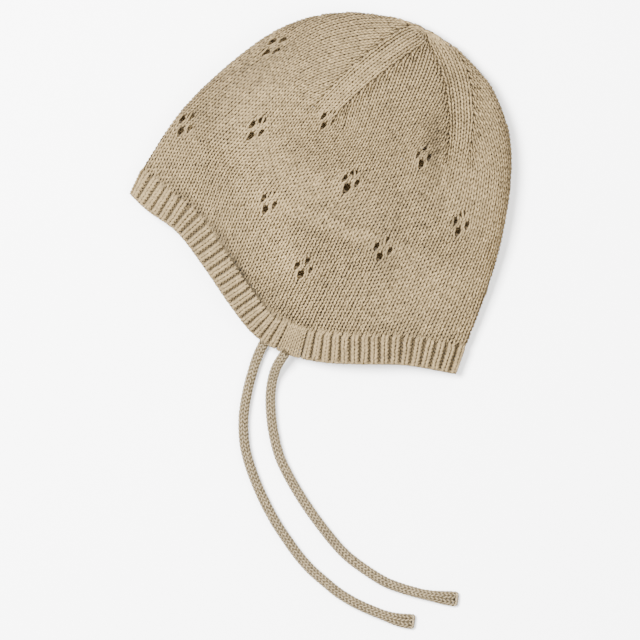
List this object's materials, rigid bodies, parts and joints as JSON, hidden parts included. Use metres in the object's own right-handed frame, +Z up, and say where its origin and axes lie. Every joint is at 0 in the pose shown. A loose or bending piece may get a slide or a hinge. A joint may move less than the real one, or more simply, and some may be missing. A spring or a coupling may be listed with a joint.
{
  "type": "baby bonnet",
  "caption": "Knitted baby bonnet with ear flaps, ribbed edge, openwork eyelet flowers and long knitted chin ties, lying on its side.",
  "frame": {"origin": "on the surface the bonnet lies on, under the middle of its box measured without the ties", "axes": "+Z up from the surface, +X from the forehead towards the back of the head, +Y from the neck edge towards the top of the head"},
  "size_m": [0.1791, 0.2893, 0.0342],
  "materials": {
    "stockinette": "plain-knit heathered cotton yarn, sand beige, dull",
    "rib": "one-and-one ribbed cotton yarn, sand beige, dull",
    "tab": "firm plain-knit cotton yarn, sand beige, dull",
    "tie": "round knitted cotton cord, sand beige, dull"
  },
  "bodies": {
    "root": {"crown": "stockinette", "front_band": "rib", "neck_band": "rib", "ear_tab_near": "tab", "ear_tab_far": "tab", "tie_near": "tie", "tie_far": "tie"}
  },
  "joints": []
}
